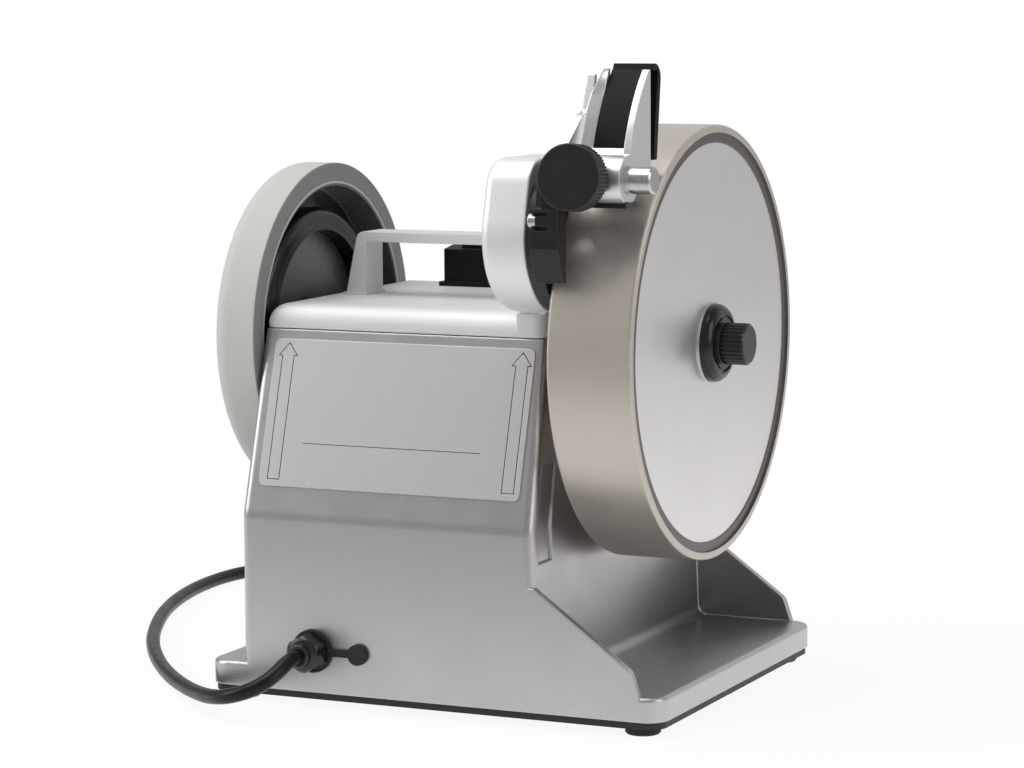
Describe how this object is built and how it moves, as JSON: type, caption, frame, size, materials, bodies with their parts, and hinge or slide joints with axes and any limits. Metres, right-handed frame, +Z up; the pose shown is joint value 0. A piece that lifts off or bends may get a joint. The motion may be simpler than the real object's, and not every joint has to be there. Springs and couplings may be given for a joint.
{
  "type": "wet grinding sharpener",
  "caption": "Bench sharpener with a grinding wheel and a honing wheel on one slow friction-driven spindle, a cast housing, and a blade guide on a pivoting angle arm",
  "frame": {"origin": "under the middle of the object's overall box without the lead, on the surface that the feet stand on", "axes": "+X along the spindle towards the grinding wheel, +Y to the back, +Z up"},
  "size_m": [0.3777, 0.379, 0.2942],
  "materials": {
    "cast_grey": "satin metallic paint",
    "cover_silver": "satin silver paint",
    "drum_silver": "satin silver paint",
    "guide_silver": "bead blasted",
    "plate_silver": "brushed",
    "black_plastic": "moulded matt",
    "gland_black": "moulded gloss",
    "black_steel": "black paint",
    "rubber_black": "matt rubber",
    "lead_rubber": "smooth rubber sheath",
    "screw_steel": "zinc plated",
    "pin_steel": "turned stainless",
    "abrasive_champagne": "fine grit coat",
    "face_grey": "satin disc",
    "honing_white": "matt honing compound",
    "hub_grey": "dull pressed plate",
    "bush_bronze": "sintered bronze",
    "motor_iron": "laminated",
    "motor_alloy": "die cast",
    "copper": "enamelled wire",
    "fan_plastic": "moulded",
    "plug_metal": "nickel plated"
  },
  "bodies": {
    "frame": {"housing": "cast_grey", "bottom_plate": "black_steel", "feet": "rubber_black", "plate_screws": "screw_steel", "top_cover": "cover_silver", "cover_screws": "screw_steel", "carry_handle": "cover_silver", "handle_screws": "screw_steel", "switch_box": "black_plastic", "name_plate": "plate_silver", "bush_left": "bush_bronze", "bush_right": "bush_bronze", "motor_stator": "motor_iron", "motor_windings": "copper", "motor_bell_left": "motor_alloy", "motor_bell_right": "motor_alloy", "motor_bearings": "pin_steel", "motor_tie_bolts": "screw_steel", "motor_bracket": "motor_alloy", "bracket_screws": "screw_steel", "capacitor": "fan_plastic", "terminal_block": "black_plastic", "pivot_drum": "drum_silver", "drum_screws": "screw_steel", "pivot_bolt": "screw_steel", "cable_gland": "gland_black", "gland_locknut": "gland_black", "cable_keeper": "rubber_black", "cord": "lead_rubber", "cord_coil": "lead_rubber", "coil_tie": "rubber_black", "plug_body": "black_plastic", "plug_blades": "plug_metal"},
    "spindle": {"main_shaft": "pin_steel", "wheel_flange": "pin_steel", "grinding_wheel": "abrasive_champagne", "wheel_face_disc": "face_grey", "wheel_washer": "pin_steel", "honing_tread": "honing_white", "drive_wheel": "black_plastic", "drive_tyre": "rubber_black", "hub_plate": "hub_grey", "honing_washer": "screw_steel", "honing_nut": "screw_steel"},
    "nut": {"wheel_nut": "black_plastic"},
    "rotor": {"rotor_core": "motor_iron", "rotor_shaft": "pin_steel", "cooling_fan": "fan_plastic"},
    "arm": {"angle_arm": "black_plastic", "index_pin": "pin_steel", "guide_pin": "pin_steel"},
    "guide": {"blade_guide": "guide_silver", "guide_band": "rubber_black", "blade_rest": "black_plastic"},
    "knob": {"lock_knob": "black_plastic", "knob_screw": "screw_steel"},
    "rocker": {"switch_rocker": "black_plastic"}
  },
  "joints": [
    {"name": "spindle_spin", "type": "hinge", "parent": "frame", "child": "spindle", "pos_m": [0.0048, 0.00681, 0.165], "axis": [1, 0, 0], "continuous": true},
    {"name": "rotor_spin", "type": "hinge", "parent": "frame", "child": "rotor", "pos_m": [0.0048, 0.00681, 0.1019], "axis": [1, 0, 0], "continuous": true},
    {"name": "wheel_nut_turn", "type": "hinge", "parent": "spindle", "child": "nut", "pos_m": [0.1062, 0.00681, 0.165], "axis": [-1, 0, 0], "range_deg": [0, 360]},
    {"name": "arm_angle", "type": "hinge", "parent": "frame", "child": "arm", "pos_m": [0.0588, -0.06289, 0.2186], "axis": [1, 0, 0], "range_deg": [-6, 6]},
    {"name": "guide_slide", "type": "slide", "parent": "arm", "child": "guide", "axis": [1, 0, 0], "range_m": [0, 0.011]},
    {"name": "knob_turn", "type": "hinge", "parent": "guide", "child": "knob", "pos_m": [0.0833, -0.09562, 0.24589], "axis": [0, -0.9954, 0.0958], "range_deg": [0, 360]},
    {"name": "rocker_tip", "type": "hinge", "parent": "frame", "child": "rocker", "pos_m": [-0.0332, 0.05931, 0.2002], "axis": [0, 1, 0], "range_deg": [-12, 12]}
  ],
  "couplings": [
    {"joint": "rotor_spin", "follows": "spindle_spin", "ratio": -12.083}
  ]
}
